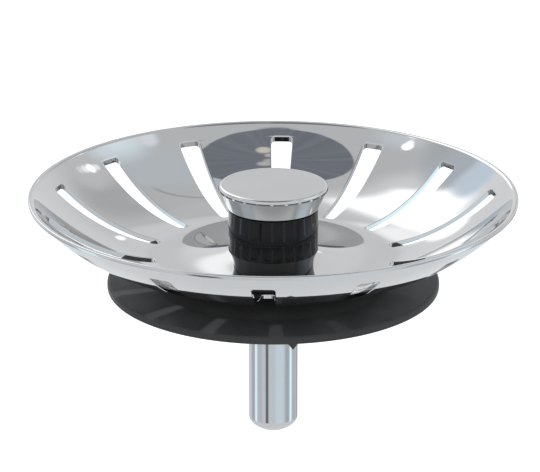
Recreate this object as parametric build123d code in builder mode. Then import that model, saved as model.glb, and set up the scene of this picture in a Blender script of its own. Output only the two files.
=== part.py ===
from build123d import *
from math import radians, tan
import os

# Lift-out strainer plug of a kitchen sink waste, in millimetres.
# The origin is the lowest point of the stem's domed end, and +Z runs up the stem to the knob.

# Dish
dish_diameter = 78.0
dish_depth = 9.4
sheet_thickness = 0.7
floor_flat_radius = 7.2
floor_drop = 0.95
floor_slope = 12.2
crease_radius = 16.0
wall_angle = 48.0
lip_width = 0.7
lip_bend = 0.9
lip_edge_fillet = 0.25
slot_count = 14
slot_start_angle = 10.5
slot_floor_margin = 3.2
slot_rim_margin = 2.7
slot_inner_width = 1.95
slot_outer_width = 3.65
slot_corner_radius = 0.6

# Knob
cap_diameter = 17.6
cap_height = 3.75
cap_rim_height = 0.8
cap_rim_fillet = 0.6
cap_rim_step = 0.12
cap_overhang = 0.1
cap_wall = 1.05
cap_top_thickness = 1.2
shadow_gap = 0.25
grip_diameter = 14.4
grip_height = 4.1
knob_edge_chamfer = 0.12
collar_height = 2.75
insert_across_flats = 8.0
insert_roof = 0.9

# Hub, seal and backing plate
hub_height = 2.35
hub_margin = 0.4
spigot_diameter = 9.6
spigot_rise = 1.2
seal_diameter = 53.4
seal_thickness = 1.25
seal_top_fillet = 0.45
seal_bottom_fillet = 0.2
seal_flange_width = 7.2
seal_cone_width = 7.5
seal_cone_fillet = 2.0
seal_boss_height = 3.1
nib_angle = -83.5
nib_width = 1.45
nib_depth = 0.85
nib_thickness = 0.9
nib_root = 0.5
backing_diameter = 28.0
backing_thickness = 1.0
backing_edge_fillet = 0.3

# Stem, its ring and the lock nut
stem_diameter = 8.0
stem_dome_height = 1.95
stem_length = 18.7
stem_shoulder_chamfer = 0.4
thread_diameter = 6.0
thread_depth = 0.3
thread_end_chamfer = 0.4
land_depth = 0.6
ring_section = 1.4
adjust_travel = 2.0
nut_across_flats = 10.0
nut_height = 3.2
nut_corner_chamfer = 0.5

# Clearances
thread_clearance = 0.05
bore_clearance = 0.1
ring_clearance = 0.05
fit_clearance = 0.05
stop_clearance = 0.3
cut_clearance = 1.0

# Radii that follow from the sizes above
dish_radius = dish_diameter / 2
bowl_end_radius = dish_radius - lip_width
slot_inner_radius = crease_radius + slot_floor_margin
slot_outer_radius = dish_radius - slot_rim_margin
cap_radius = cap_diameter / 2
grip_radius = grip_diameter / 2
cap_foot_radius = grip_radius + cap_overhang
cap_bore_radius = cap_foot_radius - cap_wall
neck_radius = cap_bore_radius - fit_clearance
seal_radius = seal_diameter / 2
seal_cone_radius = seal_radius - seal_flange_width
seal_boss_radius = seal_cone_radius - seal_cone_width
backing_radius = backing_diameter / 2
stem_radius = stem_diameter / 2
thread_radius = thread_diameter / 2
thread_core_radius = thread_radius - thread_depth
thread_bore_radius = thread_radius + thread_clearance
bore_radius = thread_radius + bore_clearance
land_radius = thread_radius - land_depth
ring_centre_radius = land_radius + ring_clearance + ring_section / 2
ring_seat_radius = ring_centre_radius + ring_section / 2 + ring_clearance
hub_radius = floor_flat_radius - hub_margin
spigot_radius = spigot_diameter / 2
spigot_bore_radius = spigot_radius + fit_clearance

# Heights above the tip of the stem, from the bottom up
nut_bottom = stem_length + adjust_travel + stop_clearance
nut_top = nut_bottom + nut_height
seal_bottom = nut_top + backing_thickness
seal_top = seal_bottom + seal_thickness
seal_boss_top = seal_bottom + seal_boss_height
ring_middle = seal_boss_top + ring_clearance + ring_section / 2
ring_seat_top = ring_middle + ring_section / 2 + ring_clearance
dish_seat = seal_boss_top + hub_height
dish_floor = dish_seat + sheet_thickness
dish_crease = dish_floor - floor_drop
dish_rim = dish_floor + dish_depth
spigot_top = dish_floor + spigot_rise
collar_top = dish_floor + collar_height
grip_top = collar_top + grip_height
cap_bottom = grip_top + shadow_gap
cap_top = cap_bottom + cap_height
cap_ceiling = cap_top - cap_top_thickness
insert_top = cap_ceiling - insert_roof

# The floor falls from the knob's foot at its slope and runs level into the crease.
# The bowl leaves the crease level and meets the lip at the wall's angle.
# The underside has the same two curves, moved down by the sheet and sideways by its bends.
floor_knee_radius = floor_flat_radius + floor_drop / tan(radians(floor_slope))
bowl_knee_radius = bowl_end_radius - (dish_rim - dish_crease) / tan(radians(wall_angle))
floor_shift = sheet_thickness * tan(radians(floor_slope / 2))
bowl_shift = sheet_thickness * tan(radians(wall_angle / 2))
dish_under = dish_crease - sheet_thickness
lip_under = dish_rim - sheet_thickness

# Heights on the stem: its smooth land stays round the ring over the whole adjustment
stem_top = cap_ceiling - stop_clearance - adjust_travel
land_reach = ring_section / 2 + adjust_travel + stop_clearance
land_bottom = ring_middle - land_reach
land_top = ring_middle + land_reach

os.makedirs("parts", exist_ok=True)

# Strainer dish: a pressed sheet, raised under the knob and level at the crease round that floor
with BuildPart() as strainer_dish:
    with BuildSketch(Plane.XZ):
        with BuildLine():
            top_flat = Line((spigot_bore_radius, dish_floor), (floor_flat_radius, dish_floor))
            top_floor = Bezier(
                top_flat @ 1,
                (floor_knee_radius, dish_crease),
                (crease_radius, dish_crease),
            )
            top_bowl = Bezier(
                top_floor @ 1,
                (bowl_knee_radius, dish_crease),
                (bowl_end_radius, dish_rim),
            )
            under_flat = Line((spigot_bore_radius, dish_seat), (floor_flat_radius - floor_shift, dish_seat))
            under_floor = Bezier(
                under_flat @ 1,
                (floor_knee_radius - floor_shift, dish_under),
                (crease_radius, dish_under),
            )
            under_bowl = Bezier(
                under_floor @ 1,
                (bowl_knee_radius + bowl_shift, dish_under),
                (bowl_end_radius + bowl_shift, lip_under),
            )
            Polyline(top_bowl @ 1, (dish_radius, dish_rim), (dish_radius, lip_under), under_bowl @ 1)
            Line(top_flat @ 0, under_flat @ 0)
        make_face()
    revolve(axis=Axis.Z)
    rim_rings = edges().filter_by(GeomType.CIRCLE)
    fillet(rim_rings.group_by(Axis.Z)[-1].sort_by(SortBy.RADIUS)[0], lip_bend)
    outer_rings = edges().filter_by(GeomType.CIRCLE).group_by(SortBy.RADIUS)[-1]
    fillet(outer_rings, lip_edge_fillet)
    with BuildSketch(Plane.XY.offset(dish_under - cut_clearance)):
        with PolarLocations(0, slot_count, start_angle=slot_start_angle):
            Polygon(
                (slot_inner_radius, -slot_inner_width / 2),
                (slot_outer_radius, -slot_outer_width / 2),
                (slot_outer_radius, slot_outer_width / 2),
                (slot_inner_radius, slot_inner_width / 2),
                align=None,
            )
        fillet(vertices(), slot_corner_radius)
    extrude(until=Until.LAST, mode=Mode.SUBTRACT)

# Knob cap: a bright shell with a rounded rim over a cone
with BuildPart() as knob_cap:
    with BuildSketch(Plane.XZ):
        with BuildLine():
            Polyline(
                (0, cap_ceiling),
                (0, cap_top),
                (cap_radius, cap_top),
                (cap_radius, cap_top - cap_rim_height),
                (cap_radius - cap_rim_step, cap_top - cap_rim_height),
                (cap_foot_radius, cap_bottom),
                (cap_bore_radius, cap_bottom),
                (cap_bore_radius, cap_ceiling),
                close=True,
            )
        make_face()
        rim_corner = vertices().group_by(Axis.Y)[-1].sort_by(Axis.X)[-1]
        fillet(rim_corner, cap_rim_fillet)
    revolve(axis=Axis.Z)

# Knob grip: the upper black ring, with a neck that plugs into the cap
with BuildPart() as knob_grip:
    with BuildSketch(Plane.XZ):
        with BuildLine():
            Polyline(
                (bore_radius, collar_top),
                (grip_radius, collar_top),
                (grip_radius, grip_top),
                (neck_radius, grip_top),
                (neck_radius, cap_ceiling),
                (bore_radius, cap_ceiling),
                close=True,
            )
        make_face()
    revolve(axis=Axis.Z)
    grip_rings = edges().filter_by(GeomType.CIRCLE).group_by(SortBy.RADIUS)[-1]
    chamfer(grip_rings, knob_edge_chamfer)
    with BuildSketch(Plane.XY.offset(collar_top)):
        RegularPolygon(insert_across_flats / 2, 6, major_radius=False)
    extrude(amount=insert_top - collar_top, mode=Mode.SUBTRACT)

# Thread insert: the brass hexagon that fills the grip's pocket
with BuildPart() as thread_insert:
    with BuildSketch(Plane.XY.offset(collar_top)):
        RegularPolygon(insert_across_flats / 2, 6, major_radius=False)
        Circle(thread_bore_radius, mode=Mode.SUBTRACT)
    extrude(amount=insert_top - collar_top)

# Knob collar: the lower black ring, which stands on the dish and takes the hub's spigot
with BuildPart() as knob_collar:
    with BuildSketch(Plane.XZ):
        with BuildLine():
            Polyline(
                (spigot_bore_radius, dish_floor),
                (grip_radius, dish_floor),
                (grip_radius, collar_top),
                (bore_radius, collar_top),
                (bore_radius, spigot_top + stop_clearance),
                (spigot_bore_radius, spigot_top + stop_clearance),
                close=True,
            )
        make_face()
    revolve(axis=Axis.Z)
    collar_rings = edges().filter_by(GeomType.CIRCLE).group_by(SortBy.RADIUS)[-1]
    chamfer(collar_rings, knob_edge_chamfer)

# Seal hub: the black spacer between dish and seal, with a seat for the stem's ring
with BuildPart() as seal_hub:
    with BuildSketch(Plane.XZ):
        with BuildLine():
            Polyline(
                (ring_seat_radius, seal_boss_top),
                (hub_radius, seal_boss_top),
                (hub_radius, dish_seat),
                (spigot_radius, dish_seat),
                (spigot_radius, spigot_top),
                (bore_radius, spigot_top),
                (bore_radius, ring_seat_top),
                (ring_seat_radius, ring_seat_top),
                close=True,
            )
        make_face()
    revolve(axis=Axis.Z)

# Seal: the rubber disc, with a cone up to its thick middle and a small nib below its edge
with BuildPart() as seal:
    with BuildSketch(Plane.XZ):
        with BuildLine():
            Polyline(
                (bore_radius, seal_bottom),
                (seal_radius, seal_bottom),
                (seal_radius, seal_top),
                (seal_cone_radius, seal_top),
                (seal_boss_radius, seal_boss_top),
                (bore_radius, seal_boss_top),
                close=True,
            )
        make_face()
        edge_corners = vertices().group_by(Axis.X)[-1].sort_by(Axis.Y)
        cone_corners = vertices().sort_by(Axis.X)[2:4]
        fillet(edge_corners[0], seal_bottom_fillet)
        fillet(edge_corners[1], seal_top_fillet)
        fillet(cone_corners, seal_cone_fillet)
    revolve(axis=Axis.Z)
    nib_axis = Plane.XY.rotated((0, 0, nib_angle))
    nib_face = Plane(
        origin=nib_axis.from_local_coords((seal_radius - nib_thickness, 0, seal_bottom)),
        x_dir=nib_axis.y_dir,
        z_dir=nib_axis.x_dir,
    )
    with BuildSketch(nib_face):
        Polygon(
            (-nib_width / 2, nib_root),
            (-nib_width / 2, 0),
            (0, -nib_depth),
            (nib_width / 2, 0),
            (nib_width / 2, nib_root),
            align=None,
        )
    extrude(amount=nib_thickness)

# Backing plate: the steel washer that holds the seal from below
with BuildPart() as backing_plate:
    with BuildSketch(Plane.XY.offset(nut_top)):
        Circle(backing_radius)
        Circle(bore_radius, mode=Mode.SUBTRACT)
    extrude(amount=backing_thickness)
    rim_edge = edges().filter_by(GeomType.CIRCLE).group_by(SortBy.RADIUS)[-1].sort_by(Axis.Z)[0]
    fillet(rim_edge, backing_edge_fillet)

# Lock nut: a thin hexagon whose corners are turned off top and bottom
with BuildPart() as lock_nut:
    with BuildSketch(Plane.XY.offset(nut_bottom)):
        RegularPolygon(nut_across_flats / 2, 6, major_radius=False)
    extrude(amount=nut_height)
    nut_corner_radius = nut_across_flats / 3**0.5
    with BuildSketch(Plane.XZ):
        with BuildLine():
            Polyline(
                (thread_bore_radius, nut_bottom),
                (nut_corner_radius - nut_corner_chamfer, nut_bottom),
                (nut_corner_radius, nut_bottom + nut_corner_chamfer / 2),
                (nut_corner_radius, nut_top - nut_corner_chamfer / 2),
                (nut_corner_radius - nut_corner_chamfer, nut_top),
                (thread_bore_radius, nut_top),
                close=True,
            )
        make_face()
    revolve(axis=Axis.Z, mode=Mode.INTERSECT)

# Stem ring: the rubber ring in the hub, round the stem's smooth land
with BuildPart() as stem_ring:
    with BuildSketch(Plane.XZ):
        with Locations((ring_centre_radius, ring_middle)):
            Circle(ring_section / 2)
    revolve(axis=Axis.Z)

# Stem: the bright pin with a domed end, turned down above its shoulder for thread, land and thread
with BuildPart() as stem:
    with BuildSketch(Plane.XZ):
        with BuildLine():
            dome = TangentArc((0, 0), (stem_radius, stem_dome_height), tangent=(1, 0))
            Polyline(
                dome @ 1,
                (stem_radius, stem_length - stem_shoulder_chamfer),
                (stem_radius - stem_shoulder_chamfer, stem_length),
                (thread_core_radius, stem_length),
                (thread_core_radius, land_bottom),
                (land_radius, land_bottom),
                (land_radius, land_top),
                (thread_core_radius, land_top),
                (thread_core_radius, stem_top - thread_end_chamfer),
                (thread_core_radius - thread_end_chamfer, stem_top),
                (0, stem_top),
                dome @ 0,
            )
        make_face()
    revolve(axis=Axis.Z)

strainer_dish.part.label = "strainer_dish"
knob_cap.part.label = "knob_cap"
knob_grip.part.label = "knob_grip"
thread_insert.part.label = "thread_insert"
knob_collar.part.label = "knob_collar"
seal_hub.part.label = "seal_hub"
seal.part.label = "seal"
backing_plate.part.label = "backing_plate"
lock_nut.part.label = "lock_nut"
stem_ring.part.label = "stem_ring"
stem.part.label = "stem"

export_step(strainer_dish.part, "parts/strainer_dish.step")
export_step(knob_cap.part, "parts/knob_cap.step")
export_step(knob_grip.part, "parts/knob_grip.step")
export_step(thread_insert.part, "parts/thread_insert.step")
export_step(knob_collar.part, "parts/knob_collar.step")
export_step(seal_hub.part, "parts/seal_hub.step")
export_step(seal.part, "parts/seal.step")
export_step(backing_plate.part, "parts/backing_plate.step")
export_step(lock_nut.part, "parts/lock_nut.step")
export_step(stem_ring.part, "parts/stem_ring.step")
export_step(stem.part, "parts/stem.step")
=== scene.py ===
from math import acos, asin, atan2, cos, hypot, pi, radians, sin, sqrt, tan

import bpy
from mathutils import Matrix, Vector


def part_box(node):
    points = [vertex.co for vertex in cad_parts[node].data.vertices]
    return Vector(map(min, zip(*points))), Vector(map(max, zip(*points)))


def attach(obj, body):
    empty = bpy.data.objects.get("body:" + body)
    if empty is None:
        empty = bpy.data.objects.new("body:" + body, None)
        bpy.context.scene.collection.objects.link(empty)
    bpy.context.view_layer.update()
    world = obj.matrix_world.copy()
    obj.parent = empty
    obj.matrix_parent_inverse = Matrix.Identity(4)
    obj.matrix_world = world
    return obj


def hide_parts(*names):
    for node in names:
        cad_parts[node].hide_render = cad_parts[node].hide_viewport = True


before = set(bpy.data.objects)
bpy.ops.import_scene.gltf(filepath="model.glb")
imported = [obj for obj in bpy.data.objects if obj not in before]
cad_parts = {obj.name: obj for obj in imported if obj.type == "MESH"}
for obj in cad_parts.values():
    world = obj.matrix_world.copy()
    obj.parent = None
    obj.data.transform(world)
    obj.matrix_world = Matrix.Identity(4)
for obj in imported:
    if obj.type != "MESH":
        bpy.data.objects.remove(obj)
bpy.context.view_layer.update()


def outer_radius(node):
    """A node's outer radius in the frame, in millimetres."""
    return round(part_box(node)[1][0] * 1000, 2)


def lowest(node):
    """A node's lowest height in the frame, in millimetres."""
    return round(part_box(node)[0][2] * 1000, 2)


def highest(node):
    """A node's highest height in the frame, in millimetres."""
    return round(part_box(node)[1][2] * 1000, 2)


# Sizes are in millimetres, the same as the part's own. The dish is one sheet with a bent lip.
dish_radius = outer_radius("strainer_dish")
dish_rim = highest("strainer_dish")
dish_floor = lowest("knob_collar")
sheet = 0.7
dish_crease = lowest("strainer_dish") + sheet
wall_angle = 48.0
floor_slope = 12.2
floor_flat_radius = 7.2
crease_radius = 16.0
bore_radius = 4.85
bowl_end_radius = 38.3
knee_radius = bowl_end_radius - (dish_rim - dish_crease) / tan(radians(wall_angle))
floor_knee = floor_flat_radius + (dish_floor - dish_crease) / tan(radians(floor_slope))
bowl_shift = sheet * tan(radians(wall_angle / 2))
floor_shift = sheet * tan(radians(floor_slope / 2))
lip_start = 37.2
lip_stop = 37.4
lip_bend = 0.9
lip_edge = 0.25
lip_under_bend = 0.1

# The slots taper inwards, and their stamped edges roll off.
slot_count = 14
slot_start = 10.5
slot_inner = 19.2
slot_outer = 36.3
slot_inner_half = 0.975
slot_outer_half = 1.825
slot_corner = 0.6
slot_edge = 0.09
slot_length = slot_outer - slot_inner
sector = 2 * pi / slot_count

# The cap sits on the grip's spigot, and the collar stands on the dish, round its bore.
cap_radius = outer_radius("knob_cap")
cap_bottom = lowest("knob_cap")
cap_top = highest("knob_cap")
cap_rim_bottom = 41.4
cap_rim_step = 0.07
cap_cone_top_radius = 8.62
cap_cone_foot_radius = 7.3
cap_bore = 6.25
cap_top_fillet = 0.6
cap_rim_fillet = 0.1
cap_step_fillet = 0.06
knob_radius = outer_radius("knob_collar")
knob_bore = 3.1
grip_top = 38.2
spigot_radius = 6.2
spigot_top = highest("knob_grip")
collar_top = highest("knob_collar")
collar_step = 32.85
collar_foot_fillet = 0.08
knob_fillet = 0.12

# The seal rises to a boss in its middle, and has a moulding nib at its front edge.
seal_radius = outer_radius("seal")
seal_bore = 3.1
seal_bottom = highest("backing_plate")
seal_top = 26.45
seal_slope_radius = 19.5
boss_radius = 12.0
boss_top = highest("seal")
seal_foot_fillet = 0.2
seal_edge_fillet = 0.45
boss_fillet = 2.0
nib_turn = -83.5
nib_back = 25.8
nib_front = 26.62
nib_round = 0.06
# Half the nib's outline: distance from its middle line and height over the seal's underside
nib_flank = [(0.725, 0.5), (0.725, 0.02), (0.62, -0.08), (0.08, -0.81)]
nib_tip = (0, -0.85)

# The stem: dome, body, cone to the shoulder, thread, smooth neck, thread, tip.
stem_radius = outer_radius("stem")
stem_top = highest("stem")
dome_height = 1.95
dome_fillet = 1.6
body_top = 18.3
body_fillet = 0.1
shoulder_radius = 3.6
stem_shoulder = 18.7
neck_radius = 2.4
neck_bottom = 26.05
neck_top = 32.05
thread_end = 38.3
tip_radius = 2.3
thread_core = 2.7
thread_crest = 3.0
thread_pitch = 1.0
thread_root_half = 0.36
thread_crest_half = 0.06
thread_buried = 0.05
thread_clear = 0.4
thread_shoulder_clear = 0.6

# How finely the meshes are cut, and from which angle on their edges are sharp
tiny = 1e-6
knob_segments = 192
seal_segments = 256
stem_segments = 128
dome_steps = 14
plain_sharp = 50
nib_sharp = 40
stem_sharp = 35
thread_sharp = 30


# Mesh helpers

def new_piece(name, verts, faces, sharp_from):
    """A smooth-shaded mesh object from points in millimetres, with edges sharp from an angle on."""
    mesh = bpy.data.meshes.new(name)
    mesh.from_pydata([(x / 1000, y / 1000, z / 1000) for x, y, z in verts], [], faces)
    mesh.validate()
    mesh.update()
    for poly in mesh.polygons:
        poly.use_smooth = True
    mesh.set_sharp_from_angle(angle=radians(sharp_from))
    piece = bpy.data.objects.new(name, mesh)
    bpy.context.scene.collection.objects.link(piece)
    return piece


def soften(corners, steps=7, guard=0.06):
    """A profile with each corner (radius, height, fillet) rounded, with a guard point each side."""
    points = []
    room = 2.5 * guard
    for i, (r, z, fillet) in enumerate(corners):
        if not fillet or i in (0, len(corners) - 1):
            points.append((r, z))
            continue
        before = corners[i - 1]
        after = corners[i + 1]
        here = Vector((r, z))
        back = Vector((before[0] - r, before[1] - z))
        ahead = Vector((after[0] - r, after[1] - z))
        back_length = back.length
        ahead_length = ahead.length
        back.normalize()
        ahead.normalize()
        half = acos(max(-1.0, min(1.0, back.dot(ahead)))) / 2
        reach = fillet / tan(half)
        middle = here + (back + ahead).normalized() * (fillet / sin(half))
        first = here + back * reach - middle
        last = here + ahead * reach - middle
        turn = atan2(first.x * last.y - first.y * last.x, first.dot(last))
        if back_length > reach + room:
            points.append(tuple(here + back * (reach + guard)))
        for k in range(steps + 1):
            angle = turn * k / steps
            points.append((middle.x + first.x * cos(angle) - first.y * sin(angle),
                           middle.y + first.x * sin(angle) + first.y * cos(angle)))
        if ahead_length > reach + room:
            points.append(tuple(here + ahead * (reach + guard)))
    return points


def lathe(name, profile, segments, sharp_from=plain_sharp, closed=True):
    """A turned piece. A point on the axis becomes one shared vertex."""
    verts = []
    rings = []
    for r, z in profile:
        if r < tiny:
            rings.append([len(verts)])
            verts.append((0.0, 0.0, z))
            continue
        rings.append(list(range(len(verts), len(verts) + segments)))
        for k in range(segments):
            a = 2 * pi * k / segments
            verts.append((r * cos(a), r * sin(a), z))
    pairs = list(zip(rings, rings[1:]))
    if closed:
        pairs.append((rings[-1], rings[0]))
    faces = []
    for low, high in pairs:
        if len(low) == 1 and len(high) == 1:
            continue
        for k in range(segments):
            n = (k + 1) % segments
            if len(low) == 1:
                faces.append((low[0], high[n], high[k]))
            elif len(high) == 1:
                faces.append((low[k], low[n], high[0]))
            else:
                faces.append((low[k], low[n], high[n], high[k]))
    return new_piece(name, verts, faces, sharp_from)


# The dish's two faces

def curve_height(radius, start, pull, stop):
    """Height at a radius on the quadratic curve of (radius, height) points from start to stop."""
    a = start[0] - 2 * pull[0] + stop[0]
    b = 2 * (pull[0] - start[0])
    c = start[0] - radius
    if abs(a) < tiny:
        t = -c / b
    else:
        t = (-b + sqrt(max(0.0, b * b - 4 * a * c))) / (2 * a)
    return (1 - t) ** 2 * start[1] + 2 * t * (1 - t) * pull[1] + t * t * stop[1]


def top_height(r):
    """Height of the sheet's upper face: flat under the knob, falling to the crease, then up the bowl."""
    crease = (crease_radius, dish_crease)
    if r <= floor_flat_radius:
        return dish_floor
    if r <= crease_radius:
        return curve_height(r, (floor_flat_radius, dish_floor), (floor_knee, dish_crease), crease)
    return curve_height(r, crease, (knee_radius, dish_crease), (bowl_end_radius, dish_rim))


def under_height(r):
    """Height of the sheet's lower face, which keeps the sheet's thickness along the slopes."""
    low = dish_crease - sheet
    crease = (crease_radius, low)
    flat_end = (floor_flat_radius - floor_shift, dish_floor - sheet)
    bowl_end = (bowl_end_radius + bowl_shift, dish_rim - sheet)
    if r <= flat_end[0]:
        return flat_end[1]
    if r <= crease_radius:
        return curve_height(r, flat_end, (floor_knee - floor_shift, low), crease)
    return curve_height(r, crease, (knee_radius + bowl_shift, low), bowl_end)


# The dish's slots

def slot_half(r):
    """Half the slot's width at a radius, rounded in at both ends."""
    x = min(max(r, slot_inner), slot_outer)
    half = slot_inner_half + (slot_outer_half - slot_inner_half) * (x - slot_inner) / slot_length
    depth = min(x - slot_inner, slot_outer - x)
    if depth < slot_corner:
        half += sqrt(max(0.0, slot_corner ** 2 - (slot_corner - depth) ** 2)) - slot_corner
    return half


def corner_rises(steps):
    """Distances from a slot's end to the points of its rounded corner."""
    return [slot_corner * (1 - cos(pi / 2 * k / steps)) for k in range(steps + 1)]


def slot_points(long_steps=40, corner_steps=12):
    """Points (radius, half width) of half a slot's outline, from its inner to its outer end."""
    radii = []
    for k in range(long_steps + 1):
        radii.append(slot_inner + slot_length * (0.5 - 0.5 * cos(pi * k / long_steps)))
    for rise in corner_rises(corner_steps):
        radii += [slot_inner + rise, slot_outer - rise]
    return sorted({(r, slot_half(r)) for r in radii})


slot_outline = slot_points()


def slot_distance(r, y):
    """Plan distance to the slot's outline from a point at radius r and y beside its middle line."""
    best = min(hypot(r - end[0], max(0.0, y - end[1])) for end in (slot_outline[0], slot_outline[-1]))
    for a, b in zip(slot_outline, slot_outline[1:]):
        dx = b[0] - a[0]
        dy = b[1] - a[1]
        length = dx * dx + dy * dy
        t = 0.0
        if length > tiny ** 2:
            t = max(0.0, min(1.0, ((r - a[0]) * dx + (y - a[1]) * dy) / length))
        best = min(best, hypot(r - a[0] - t * dx, y - a[1] - t * dy))
    return best


def roll(distance):
    """How far a stamped edge rolls off at a distance from the slot."""
    if distance >= slot_edge:
        return 0.0
    return slot_edge - sqrt(max(0.0, slot_edge ** 2 - (slot_edge - distance) ** 2))


def edge_drop(r, y):
    """How far the sheet's face is rolled off at a radius and a distance from the slot's middle line."""
    margin = 0.3
    half = slot_half(r)
    if not slot_inner - margin < r < slot_outer + margin or y >= half + margin:
        return 0.0
    inside = slot_inner < r < slot_outer and y < half - tiny
    return roll(0.0 if inside else slot_distance(r, y))


# The dish's rings: radii from the bore outwards, closer together at the bends and round the slots

floor_radii = [
    bore_radius, 6.0, 7.1, 7.15, 7.2, 7.25, 7.35, 7.6, 8.0, 8.5, 9.1, 9.8, 10.6, 11.4, 12.2,
    13.0, 13.8, 14.6, 15.3, 15.7, 15.9, 16.0, 16.1, 16.3, 16.7, 17.2, 17.8, 18.4,
]
under_floor_radii = [
    bore_radius, 6.4, 7.05, 7.1, 7.5, 8.2, 9.0, 10.0, 11.0, 12.0, 13.0, 14.0, 15.0, 16.0,
    16.8, 17.6, 18.4,
]
bowl_radii = [36.8, lip_start]
under_bowl_radii = [37.0, 37.3]
land_cells = 15
guards = [0.03, slot_edge, 2.2 * slot_edge]
inner_guards = [slot_inner - g for g in reversed(guards)]
outer_guards = [slot_outer + g for g in guards]


def slot_radii(straight_steps=44, corner_steps=7):
    """Radii of the rings that cross the slots."""
    rises = corner_rises(corner_steps)
    straight = slot_outer - slot_inner - 2 * slot_corner
    radii = [slot_inner + rise for rise in rises]
    radii += [slot_inner + slot_corner + straight * k / straight_steps for k in range(1, straight_steps)]
    return radii + [slot_outer - rise for rise in reversed(rises)]


def dish_rings():
    """Rings (radius, height, side) over the upper face, round the lip and back along the lower face."""
    middle_radii = inner_guards + slot_radii() + outer_guards
    top_radii = floor_radii + middle_radii + bowl_radii
    under_radii = under_floor_radii + middle_radii + under_bowl_radii
    rings = [(r, top_height(r), "top") for r in top_radii]
    lip = soften([
        (lip_start, top_height(lip_start), 0),
        (bowl_end_radius, dish_rim, lip_bend),
        (dish_radius, dish_rim, lip_edge),
        (dish_radius, dish_rim - sheet, lip_edge),
        (bowl_end_radius + bowl_shift, dish_rim - sheet, lip_under_bend),
        (lip_stop, under_height(lip_stop), 0),
    ], steps=8, guard=0.04)
    rings += [(r, z, "lip") for r, z in lip[1:-1]]
    return rings + [(r, under_height(r), "under") for r in reversed(under_radii)]


def ring_angles(r):
    """Angles across one sector, from a slot's middle line to the next one's."""
    half = slot_half(r)
    near = [0.0, half] + [half + g for g in guards]
    angles = [asin(y / r) for y in near]
    start = angles[-1]
    stop = sector - start
    angles += [start + (stop - start) * k / land_cells for k in range(1, land_cells)]
    return angles + [sector - asin(y / r) for y in reversed(near[1:])]


def ring_points(r, z, side):
    """The points of one ring, the same in every sector, with the slots' edges rolled off."""
    angles = ring_angles(r)
    heights = []
    for a in angles:
        drop = 0.0 if side == "lip" else edge_drop(r, r * sin(min(a, sector - a)))
        heights.append(z - drop if side == "top" else z + drop)
    points = []
    for k in range(slot_count):
        start = radians(slot_start) + sector * k
        points += [(r * cos(start + a), r * sin(start + a), height) for a, height in zip(angles, heights)]
    return points


# The dish's mesh

per_sector = len(ring_angles(slot_inner))
columns = per_sector * slot_count


def at(row, column):
    """Number of the vertex in a ring and a column, which runs round."""
    return row * columns + column % columns


def in_slot(ring, next_ring, column):
    """Whether the cell between two rings, from this column to the next, lies in a slot."""
    radii = (ring[0], next_ring[0])
    if "lip" in (ring[2], next_ring[2]):
        return False
    if min(radii) < slot_inner - tiny or max(radii) > slot_outer + tiny:
        return False
    return column % per_sector in (0, per_sector - 1)


def sheet_faces(rings):
    """The sheet's two faces and its bore, open where the slots are."""
    faces = []
    last = len(rings) - 1
    for i in range(last):
        for c in range(columns):
            if not in_slot(rings[i], rings[i + 1], c):
                faces.append((at(i, c), at(i, c + 1), at(i + 1, c + 1), at(i + 1, c)))
    for c in range(columns):
        faces.append((at(last, c), at(last, c + 1), at(0, c + 1), at(0, c)))
    return faces


def slot_faces(rings, middle):
    """The walls of the slot round one column. They join the sheet's two faces and close both ends."""
    top_row = {r: i for i, (r, z, side) in enumerate(rings) if side == "top"}
    under_row = {r: i for i, (r, z, side) in enumerate(rings) if side == "under"}
    rows = [(top_row[r], under_row[r]) for r in slot_radii()]
    right = middle + 1
    left = middle - 1
    faces = []
    for (ta, ua), (tb, ub) in zip(rows, rows[1:]):
        faces.append((at(ta, right), at(ua, right), at(ub, right), at(tb, right)))
        faces.append((at(ta, left), at(tb, left), at(ub, left), at(ua, left)))
    ta, ua = rows[0]
    tb, ub = rows[-1]
    for p, q in ((left, middle), (middle, right)):
        faces.append((at(ta, p), at(ua, p), at(ua, q), at(ta, q)))
        faces.append((at(tb, p), at(tb, q), at(ub, q), at(ub, p)))
    return faces


def make_dish():
    """The pressed dish, with all its slots."""
    rings = dish_rings()
    verts = []
    for ring in rings:
        verts += ring_points(*ring)
    faces = sheet_faces(rings)
    for k in range(slot_count):
        faces += slot_faces(rings, k * per_sector)
    return new_piece("pressed_dish", verts, faces, plain_sharp)


dish = make_dish()
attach(dish, "head")
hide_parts("strainer_dish")


# The knob

cap = lathe("polished_cap", soften([
    (0, spigot_top, 0),
    (0, cap_top, 0),
    (cap_radius, cap_top, cap_top_fillet),
    (cap_radius, cap_rim_bottom, cap_rim_fillet),
    (cap_cone_top_radius, cap_rim_bottom - cap_rim_step, cap_step_fillet),
    (cap_cone_foot_radius, cap_bottom, knob_fillet),
    (cap_bore, cap_bottom, 0),
    (cap_bore, spigot_top, 0),
]), knob_segments)
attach(cap, "head")
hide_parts("knob_cap")

grip = lathe("black_grip", soften([
    (knob_bore, collar_top, 0),
    (knob_radius, collar_top, knob_fillet),
    (knob_radius, grip_top, knob_fillet),
    (spigot_radius, grip_top, 0),
    (spigot_radius, spigot_top, 0),
    (knob_bore, spigot_top, 0),
]), knob_segments)
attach(grip, "head")
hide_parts("knob_grip")

collar = lathe("black_collar", soften([
    (bore_radius, dish_floor, 0),
    (knob_radius, dish_floor, collar_foot_fillet),
    (knob_radius, collar_top, knob_fillet),
    (knob_bore, collar_top, 0),
    (knob_bore, collar_step, 0),
    (bore_radius, collar_step, 0),
]), knob_segments)
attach(collar, "head")
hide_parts("knob_collar")


# The seal and its nib

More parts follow.
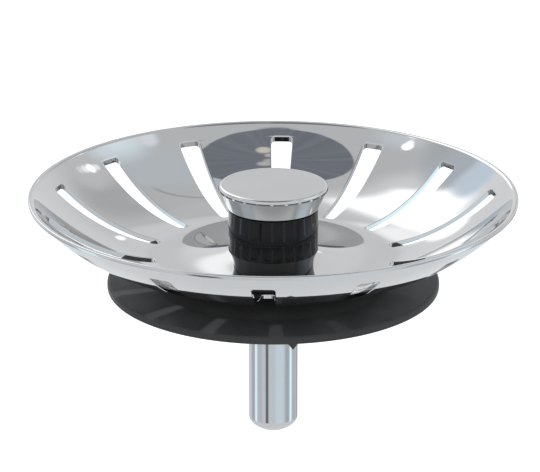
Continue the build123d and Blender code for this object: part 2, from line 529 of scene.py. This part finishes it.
seal = lathe("rubber_seal", soften([
    (seal_bore, seal_bottom, 0),
    (seal_radius, seal_bottom, seal_foot_fillet),
    (seal_radius, seal_top, seal_edge_fillet),
    (seal_slope_radius, seal_top, boss_fillet),
    (boss_radius, boss_top, boss_fillet),
    (seal_bore, boss_top, 0),
], steps=8), seal_segments)
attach(seal, "head")
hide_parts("seal")


def make_nib():
    """The pointed nib: one outline through three layers, drawn in a little at the front."""
    outline = [(-x, z) for x, z in nib_flank] + [nib_tip] + list(reversed(nib_flank))
    count = len(outline)
    turn = radians(nib_turn)
    outward = Vector((cos(turn), sin(turn), 0))
    sideways = Vector((-sin(turn), cos(turn), 0))
    verts = []
    for depth, scale in ((nib_back, 1), (nib_front, 1), (seal_radius, 1 - nib_round)):
        for x, z in outline:
            point = outward * depth + sideways * (x * scale)
            verts.append((point.x, point.y, seal_bottom + z * scale))
    faces = []
    for start in (0, count):
        for k in range(count):
            n = (k + 1) % count
            faces.append((start + k, start + n, start + count + n, start + count + k))
    faces.append(tuple(reversed(range(count))))
    faces.append(tuple(range(2 * count, 3 * count)))
    return new_piece("seal_nib", verts, faces, nib_sharp)


nib = make_nib()
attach(nib, "head")


# The stem and its threads

def make_stem():
    """The pin. A rounded edge takes the place of the dome's last step."""
    dome_radius = (stem_radius ** 2 + dome_height ** 2) / (2 * dome_height)
    dome = []
    for k in range(dome_steps - 1):
        a = asin(stem_radius / dome_radius) * k / dome_steps
        dome.append((dome_radius * sin(a), dome_radius * (1 - cos(a))))
    return lathe("polished_stem", dome[:-1] + soften([
        (*dome[-1], 0),
        (stem_radius, dome_height, dome_fillet),
        (stem_radius, body_top, body_fillet),
        (shoulder_radius, stem_shoulder, body_fillet),
        (thread_core, stem_shoulder, 0),
        (thread_core, neck_bottom, 0),
        (neck_radius, neck_bottom, 0),
        (neck_radius, neck_top, 0),
        (thread_core, neck_top, 0),
        (thread_core, thread_end, 0),
        (tip_radius, stem_top, 0),
        (0, stem_top, 0),
    ]), stem_segments, stem_sharp, closed=False)


pin = make_stem()
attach(pin, "stem")
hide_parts("stem")


def helix(name, low, high, per_turn=40, runout_steps=14):
    """A thread's ridge, tapered at both ends so that it runs out."""
    steps = int((high - low) / thread_pitch * per_turn)
    root = thread_core - thread_buried
    verts = []
    for k in range(steps + 1):
        a = 2 * pi * k / per_turn
        z = low + thread_pitch * k / per_turn
        fade = min(1.0, k / runout_steps, (steps - k) / runout_steps)
        crest = thread_core + (thread_crest - thread_core) * fade
        for r, dz in ((root, -thread_root_half), (crest, -thread_crest_half),
                      (crest, thread_crest_half), (root, thread_root_half)):
            verts.append((r * cos(a), r * sin(a), z + dz))
    faces = []
    for k in range(steps):
        for j in range(4):
            m = (j + 1) % 4
            faces.append((4 * k + j, 4 * k + 4 + j, 4 * k + 4 + m, 4 * k + m))
    faces.append((0, 1, 2, 3))
    faces.append(tuple(4 * steps + j for j in (3, 2, 1, 0)))
    return new_piece(name, verts, faces, thread_sharp)


lower_thread = helix("lower_thread", stem_shoulder + thread_shoulder_clear, neck_bottom - thread_clear)
upper_thread = helix("upper_thread", neck_top + thread_clear, thread_end - thread_root_half)
for ridge in (lower_thread, upper_thread):
    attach(ridge, "stem")


# Node helpers

# Most of a noise lies between these values.
noise_low = 0.3
noise_high = 0.7


def do_math(tree, operation, *values):
    """A Math node on sockets or numbers."""
    node = tree.nodes.new("ShaderNodeMath")
    node.operation = operation
    for k, value in enumerate(values):
        if isinstance(value, float):
            node.inputs[k].default_value = value
        else:
            tree.links.new(value, node.inputs[k])
    return node.outputs["Value"]


def do_vectors(tree, operation, source, other=None):
    """A Vector Math node on a socket and, where it takes two, a vector of numbers."""
    node = tree.nodes.new("ShaderNodeVectorMath")
    node.operation = operation
    tree.links.new(source, node.inputs[0])
    if other:
        node.inputs[1].default_value = other
    return node.outputs["Value" if operation == "DOT_PRODUCT" else "Vector"]


def spread(tree, source, low, high, start=noise_low, stop=noise_high):
    """Goes from low to high as the source goes from start to stop."""
    ramp = tree.nodes.new("ShaderNodeMapRange")
    ramp.inputs["From Min"].default_value = start
    ramp.inputs["From Max"].default_value = stop
    ramp.inputs["To Min"].default_value = low
    ramp.inputs["To Max"].default_value = high
    tree.links.new(source, ramp.inputs["Value"])
    return ramp.outputs["Result"]


def soft_step(tree, source, start, stop):
    """Rises smoothly from 0 to 1 as the source goes from start to stop."""
    result = spread(tree, source, 0.0, 1.0, start, stop)
    result.node.interpolation_type = "SMOOTHSTEP"
    return result


def mix_colours(tree, factor, low, high):
    """Goes from one colour to another. Each is given as numbers or as a socket."""
    node = tree.nodes.new("ShaderNodeMix")
    node.data_type = "RGBA"
    for name, colour in (("A", low), ("B", high)):
        if isinstance(colour, tuple):
            node.inputs[name].default_value = (*colour, 1)
        else:
            tree.links.new(colour, node.inputs[name])
    tree.links.new(factor, node.inputs["Factor"])
    return node.outputs["Result"]


def object_place(tree, stretch=None):
    """The place on the object, scaled along its axes where a stretch is given."""
    place = tree.nodes.new("ShaderNodeTexCoord").outputs["Object"]
    if not stretch:
        return place
    mapping = tree.nodes.new("ShaderNodeMapping")
    mapping.inputs["Scale"].default_value = stretch
    tree.links.new(place, mapping.inputs["Vector"])
    return mapping.outputs["Vector"]


def noise(tree, place, scale, detail=3.0):
    """A cloudy noise at a place."""
    texture = tree.nodes.new("ShaderNodeTexNoise")
    texture.inputs["Scale"].default_value = scale
    texture.inputs["Detail"].default_value = detail
    tree.links.new(place, texture.inputs["Vector"])
    return texture.outputs["Fac"]


def level_way(tree, source):
    """The compass direction of a direction or place, as a level unit vector."""
    return do_vectors(tree, "NORMALIZE", do_vectors(tree, "MULTIPLY", source, (1, 1, 0)))


def empty_material(name):
    """A material with only its output, and its node tree and surface socket."""
    mat = bpy.data.materials.new(name)
    mat.use_nodes = True
    tree = mat.node_tree
    tree.nodes.clear()
    return mat, tree, tree.nodes.new("ShaderNodeOutputMaterial").inputs["Surface"]


# Materials

# The depth is in metres. A wear ratio is how much finer the clouds of the roughness are than the colour's.
grain_depth = 0.00005
grain_detail = 2.0
metal_grain = 0.15
metal_detail = 4.0
metal_wear_ratio = 2.3
black_grain = 0.004
black_wear_ratio = 3


def clouded(name, dark, light, rough, scale, wear_scale, stretch=None, detail=3.0):
    """A surface whose colour and roughness vary a little in clouds. Its place node is given out too."""
    mat, tree, surface = empty_material(name)
    shader = tree.nodes.new("ShaderNodeBsdfPrincipled")
    tree.links.new(shader.outputs["BSDF"], surface)
    place = object_place(tree, stretch)
    cloud = spread(tree, noise(tree, place, scale, detail), 0.0, 1.0)
    tree.links.new(mix_colours(tree, cloud, dark, light), shader.inputs["Base Color"])
    wear = spread(tree, noise(tree, place, wear_scale), *rough)
    tree.links.new(wear, shader.inputs["Roughness"])
    return mat, tree, shader, place


def grain(tree, shader, place, scale, strength):
    """A fine bump."""
    node = tree.nodes.new("ShaderNodeBump")
    node.inputs["Strength"].default_value = strength
    node.inputs["Distance"].default_value = grain_depth
    tree.links.new(noise(tree, place, scale, grain_detail), node.inputs["Height"])
    tree.links.new(node.outputs["Normal"], shader.inputs["Normal"])


def metal(name, dark, light, rough, scale, stretch=None, grain_scale=None):
    """Bare metal. Its grain, where it has one, is that of a turned or stamped face."""
    wear_scale = scale * metal_wear_ratio
    mat, tree, shader, place = clouded(name, dark, light, rough, scale, wear_scale, stretch, metal_detail)
    shader.inputs["Metallic"].default_value = 1.0
    if grain_scale:
        grain(tree, shader, place, grain_scale, metal_grain)
    return mat


def black(name, dark, light, rough, scale, grain_scale, shine):
    """A black plastic or rubber with a faint moulded grain."""
    wear_scale = scale * black_wear_ratio
    mat, tree, shader, place = clouded(name, dark, light, rough, scale, wear_scale)
    grain(tree, shader, place, grain_scale, black_grain)
    shader.inputs["Specular IOR Level"].default_value = shine
    return mat


dish_metal = metal("polished_steel", (0.588, 0.592, 0.597), (0.608, 0.611, 0.615), (0.02, 0.04), 60)
cap_metal = metal("cap_steel", (0.575, 0.580, 0.583), (0.600, 0.605, 0.608), (0.03, 0.05), 180)
stem_metal = metal(
    "stem_steel", (0.590, 0.602, 0.615), (0.600, 0.612, 0.625), (0.050, 0.058), 400,
    stretch=(0.15, 0.15, 3.0))
thread_metal = metal("thread_steel", (0.50, 0.51, 0.52), (0.58, 0.59, 0.60), (0.15, 0.3), 500)
plain_metal = metal(
    "plain_steel", (0.42, 0.42, 0.42), (0.55, 0.55, 0.545), (0.25, 0.42), 220, grain_scale=900)
brass = metal("brass", (0.66, 0.48, 0.22), (0.78, 0.60, 0.30), (0.18, 0.32), 300)
plastic = black(
    "black_plastic", (0.004, 0.004, 0.005), (0.007, 0.007, 0.008), (0.03, 0.05), 240, 300, shine=0.30)
rubber = black(
    "black_rubber", (0.058, 0.058, 0.059), (0.064, 0.064, 0.065), (0.28, 0.34), 180, 400, shine=0.06)


def dress(piece, mat):
    """Gives a new piece its material."""
    piece.data.materials.append(mat)


dress(dish, dish_metal)
dress(cap, cap_metal)
dress(grip, plastic)
dress(collar, plastic)
dress(seal, rubber)
dress(nib, rubber)
dress(pin, stem_metal)
dress(lower_thread, thread_metal)
dress(upper_thread, thread_metal)

for node, mat in (
    ("thread_insert", brass),
    ("seal_hub", plastic),
    ("backing_plate", plain_metal),
    ("lock_nut", plain_metal),
    ("stem_ring", rubber),
):
    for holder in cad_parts[node].material_slots:
        holder.material = mat


# The studio's lights all round. Angles are in degrees: azimuth runs from +X towards +Y, the back, and
# elevation is above the floor. A patch is azimuth, elevation, the angles from its middle where it is full
# and where it is gone, and its colour. A panel is two azimuths and the softness of those edges, the same
# for two elevations, and its colour. Each one lies over those before it.

backdrop_tone = (1, 1, 1)
wall_tone = (0.715, 0.730, 0.742)
low_walls = (
    (90, -90, 104, 124, (0.900, 0.902, 0.905)),
    (90, -90, 60, 96, (0.940, 0.932, 0.928)),
)
side_lights = (
    (32, 57, 8, 20, (0.700, 0.748, 0.785)),
    (6, 34, 4, 24, (1.07, 1.22, 1.30)),
    (0.5, 52.5, 0.8, 4.5, (1.02, 1.05, 1.11)),
    (186, 44, 5, 17, (0.84, 0.91, 0.97)),
)
front_panel = ((-155, -25), (20, 20), (36, 54.5), (12, 8), (1.02, 1.03, 1.04))
dull_walls = (
    (58, 39, 3, 16, (0.60, 0.61, 0.62)),
    (64, 52, 3, 12, (0.69, 0.70, 0.71)),
    (153, 35, 4, 16, (0.60, 0.625, 0.645)),
    (41, 34.5, 3, 10, (0.78, 0.785, 0.79)),
)
dark_seam = ((52, 76), (10, 4), (52.1, 53.1), (0.8, 0.8), (0.50, 0.51, 0.53))
window_surround = ((95, 143), (12, 20), (12, 57), (16, 12), (0.98, 0.995, 1.01))
surround_shade = (
    (143, 36, 4, 14, (0.62, 0.675, 0.73)),
)
window = ((100.3, 128.3), (8.5, 8), (25.5, 50.8), (12, 8), (2.2, 2.2, 2.2))
window_foot = (
    (131, 27, 4, 10, (0.80, 0.92, 1.04)),
    (107, 22, 2, 7.5, (2.2, 2.2, 2.2)),
)
# What the dish's floor and the cap's flat top mirror
low_back = (
    (97, 26.5, 1.5, 6, (1.38, 1.39, 1.40)),
    (84, 27, 3, 8, (0.885, 0.890, 0.895)),
    (90, 19.4, 1.5, 4, (0.805, 0.812, 0.820)),
)
# The first four make one streak
lamps = (
    (41.0, 31.8, 0.2, 1.9, (1.02, 1.04, 1.05)),
    (39.4, 33.8, 0.2, 2.1, (1.35, 1.36, 1.37)),
    (37.6, 35.9, 0.2, 2.3, (2.3, 2.3, 2.3)),
    (35.6, 38.0, 0.2, 1.8, (1.30, 1.31, 1.32)),
    (171, 51, 0.2, 2.7, (2.6, 2.6, 2.6)),
    (79, 22.4, 0.4, 1.6, (1.7, 1.7, 1.7)),
)
ceiling_place = (120, 89, 20.5, 21.2)
ceiling_tones = ((0.222, 0.238, 0.274), (0.266, 0.284, 0.325))
ceiling_streak_scale = 7.0
ceiling_lamps = (
    (62, 85.2, 0.8, 2.4, (0.68, 0.66, 0.62)),
    (55, 88, 0.4, 1.8, (0.62, 0.60, 0.57)),
    (295, 83.5, 1.0, 2.8, (0.86, 0.82, 0.74)),
    (298, 87.5, 0.4, 1.6, (0.74, 0.70, 0.64)),
)


def aim(azimuth, elevation):
    """Unit vector towards an azimuth and an elevation."""
    a, e = radians(azimuth), radians(elevation)
    return (cos(e) * cos(a), cos(e) * sin(a), sin(e))


def add_patch(tree, way, colour, azimuth, elevation, inner, outer, value):
    """Lays a round patch over a colour, where way is a direction's socket."""
    facing = do_vectors(tree, "DOT_PRODUCT", way, aim(azimuth, elevation))
    factor = soft_step(tree, facing, cos(radians(outer)), cos(radians(inner)))
    return mix_colours(tree, factor, colour, value)


def band(tree, source, edges, softs):
    """1 between two angles and 0 outside them. Each edge is the middle of its own soft band."""
    low, high = (radians(edge) for edge in edges)
    low_soft, high_soft = (radians(soft / 2) for soft in softs)
    rise = soft_step(tree, source, low - low_soft, low + low_soft)
    fall = soft_step(tree, source, high + high_soft, high - high_soft)
    return do_math(tree, "MULTIPLY", rise, fall)


def ceiling_colour(tree, way):
    """Dark, with faint streaks that run out from its middle."""
    streaks = noise(tree, level_way(tree, way), ceiling_streak_scale)
    return mix_colours(tree, soft_step(tree, streaks, noise_low, noise_high), *ceiling_tones)


def studio_colour(tree, way):
    """The studio's light in every direction."""
    axes = tree.nodes.new("ShaderNodeSeparateXYZ")
    tree.links.new(way, axes.inputs["Vector"])
    azimuth = do_math(tree, "ARCTAN2", axes.outputs["Y"], axes.outputs["X"])
    elevation = do_math(tree, "ARCSINE", axes.outputs["Z"])

    def add_patches(colour, patches):
        for patch in patches:
            colour = add_patch(tree, way, colour, *patch)
        return colour

    def add_panel(colour, azimuths, azimuth_softs, elevations, elevation_softs, value):
        across = band(tree, azimuth, azimuths, azimuth_softs)
        upright = band(tree, elevation, elevations, elevation_softs)
        return mix_colours(tree, do_math(tree, "MULTIPLY", across, upright), colour, value)

    colour = add_patches(wall_tone, low_walls + side_lights)
    colour = add_panel(colour, *front_panel)
    colour = add_patches(colour, dull_walls)
    colour = add_panel(colour, *dark_seam)
    colour = add_panel(colour, *window_surround)
    colour = add_patches(colour, surround_shade)
    colour = add_panel(colour, *window)
    colour = add_patches(colour, window_foot + low_back + lamps)
    colour = add_patch(tree, way, colour, *ceiling_place, ceiling_colour(tree, way))
    return add_patches(colour, ceiling_lamps)


def make_world():
    """The world gives the studio's light, and shows a white backdrop to the camera."""
    world = bpy.data.worlds.new("studio")
    bpy.context.scene.world = world
    world.use_nodes = True
    tree = world.node_tree
    tree.nodes.clear()
    output = tree.nodes.new("ShaderNodeOutputWorld")
    background = tree.nodes.new("ShaderNodeBackground")
    background.inputs["Strength"].default_value = 1.0
    way = tree.nodes.new("ShaderNodeTexCoord").outputs["Generated"]
    seen = tree.nodes.new("ShaderNodeLightPath").outputs["Is Camera Ray"]
    shown = mix_colours(tree, seen, studio_colour(tree, way), backdrop_tone)
    tree.links.new(shown, background.inputs["Color"])
    tree.links.new(background.outputs["Background"], output.inputs["Surface"])


make_world()


# The studio's solid pieces, in metres

floor_half = 6
floor_height = -0.4
floor_tone = (0.8, 0.8, 0.8)
floor_lift = 0.6
mirrored_floor_lift = 0.24
ring_radius = 0.22
ring_bottom = -0.12
ring_top = 0.03
ring_fade = (-0.022, 0.028)
ring_steps = 96
ring_tone = (0.80, 0.85, 0.89)
# Lights on the ring: azimuth, the angles where each is full and where it is gone, and its colour
ring_lights = (
    (162, 4, 16, (0.59, 0.61, 0.65)),
    (205, 4, 14, (0.70, 0.72, 0.77)),
    (182, 2.5, 8, (1.15, 1.45, 1.58)),
    (241, 2.5, 9, (0.21, 0.21, 0.23)),
    (300, 10, 25, (0.87, 0.98, 1.06)),
    (338, 6, 14, (0.59, 0.62, 0.66)),
    (25, 8, 20, (0.68, 0.69, 0.70)),
    (52, 3, 10, (0.45, 0.46, 0.48)),
    (359, 2.5, 7.5, (1.15, 1.48, 1.62)),
)


def studio_piece(name, verts, faces, mat):
    """A piece of the studio, from points in metres."""
    mesh = bpy.data.meshes.new(name)
    mesh.from_pydata(verts, [], faces)
    mesh.materials.append(mat)
    piece = bpy.data.objects.new(name, mesh)
    bpy.context.scene.collection.objects.link(piece)
    return piece


def floor_material():
    """Pale and matt. It is lifted to white where the camera sees it, and a little where a mirror does."""
    mat, tree, surface = empty_material("pale_floor")
    diffuse = tree.nodes.new("ShaderNodeBsdfDiffuse")
    diffuse.inputs["Color"].default_value = (*floor_tone, 1)
    glow = tree.nodes.new("ShaderNodeEmission")
    seen = tree.nodes.new("ShaderNodeLightPath").outputs
    mirrored = do_math(tree, "MAXIMUM", seen["Is Glossy Ray"], seen["Is Transmission Ray"])
    faint = do_math(tree, "MULTIPLY", mirrored, mirrored_floor_lift)
    lift = do_math(tree, "MULTIPLY_ADD", seen["Is Camera Ray"], floor_lift, faint)
    tree.links.new(lift, glow.inputs["Strength"])
    both = tree.nodes.new("ShaderNodeAddShader")
    tree.links.new(diffuse.outputs["BSDF"], both.inputs[0])
    tree.links.new(glow.outputs["Emission"], both.inputs[1])
    tree.links.new(both.outputs["Shader"], surface)
    return mat


def make_floor():
    """The floor, far enough below the held plug that its shadow falls outside the picture."""
    corners = []
    for x, y in ((-1, -1), (1, -1), (1, 1), (-1, 1)):
        corners.append((x * floor_half, y * floor_half, floor_height))
    return studio_piece("floor", corners, [(0, 1, 2, 3)], floor_material())


def ring_material():
    """Glowing wall with upright lights, which fades out upwards."""
    mat, tree, surface = empty_material("low_wall")
    place = object_place(tree)
    way = level_way(tree, place)
    colour = ring_tone
    for azimuth, inner, outer, value in ring_lights:
        colour = add_patch(tree, way, colour, azimuth, 0, inner, outer, value)
    glow = tree.nodes.new("ShaderNodeEmission")
    glow.inputs["Strength"].default_value = 1.0
    tree.links.new(colour, glow.inputs["Color"])
    axes = tree.nodes.new("ShaderNodeSeparateXYZ")
    tree.links.new(place, axes.inputs["Vector"])
    edge = tree.nodes.new("ShaderNodeMixShader")
    clear = tree.nodes.new("ShaderNodeBsdfTransparent")
    tree.links.new(soft_step(tree, axes.outputs["Z"], *ring_fade), edge.inputs["Fac"])
    tree.links.new(glow.outputs["Emission"], edge.inputs[1])
    tree.links.new(clear.outputs["BSDF"], edge.inputs[2])
    tree.links.new(edge.outputs["Shader"], surface)
    return mat


def make_low_wall():
    """A low ring of studio wall that only mirrors see. It draws the upright lines on the stem."""
    verts = []
    for height in (ring_bottom, ring_top):
        for k in range(ring_steps):
            a = 2 * pi * k / ring_steps
            verts.append((ring_radius * cos(a), ring_radius * sin(a), height))
    faces = []
    for k in range(ring_steps):
        n = (k + 1) % ring_steps
        faces.append((k, n, ring_steps + n, ring_steps + k))
    wall = studio_piece("low_wall", verts, faces, ring_material())
    wall.visible_camera = False
    wall.visible_diffuse = False
    wall.visible_shadow = False
    return wall


floor = make_floor()
low_wall = make_low_wall()


# The lamp above the back left, whose light falls through the slots onto the seal's near left

lamp_power = 10.7
lamp_radius = 0.03
lamp_way = Vector(aim(119, 59))
lamp_distance = 0.5
lit_place = Vector((-0.024, -0.010, 0.0265))
lit_radius = 0.033


def make_lamp():
    """A soft round beam that lights only the rubber, and that no mirror shows."""
    light = bpy.data.lights.new("slot_light", "SPOT")
    light.energy = lamp_power
    light.shadow_soft_size = lamp_radius
    light.spot_size = 2 * atan2(lit_radius, lamp_distance)
    light.spot_blend = 1.0
    lamp = bpy.data.objects.new("slot_light", light)
    lamp.location = lit_place + lamp_distance * lamp_way
    lamp.rotation_euler = lamp_way.to_track_quat("Z", "Y").to_euler()
    lamp.visible_glossy = False
    bpy.context.scene.collection.objects.link(lamp)
    lit = bpy.data.collections.new("slot_light_receivers")
    lit.objects.link(seal)
    lit.objects.link(nib)
    lamp.light_linking.receiver_collection = lit


make_lamp()


# The camera, at the photograph's viewing angle

camera_target = Vector((0, 0, 0.033415))
camera_distance = 0.4687
camera_elevation = 19.444
camera_lens = 195.04
camera_shift = -0.00604


def make_camera():
    """A long lens from the front, a little above."""
    data = bpy.data.cameras.new("camera")
    camera = bpy.data.objects.new("camera", data)
    bpy.context.scene.collection.objects.link(camera)
    bpy.context.scene.camera = camera
    tilt = radians(camera_elevation)
    camera.location = camera_target + camera_distance * Vector((0, -cos(tilt), sin(tilt)))
    camera.rotation_euler = (camera_target - camera.location).to_track_quat("-Z", "Y").to_euler()
    data.sensor_fit = "HORIZONTAL"
    data.sensor_width = 36.0
    data.lens = camera_lens
    data.shift_x = camera_shift
    data.clip_start = 0.01
    data.clip_end = 50.0


make_camera()
bpy.context.scene.view_settings.view_transform = "Standard"
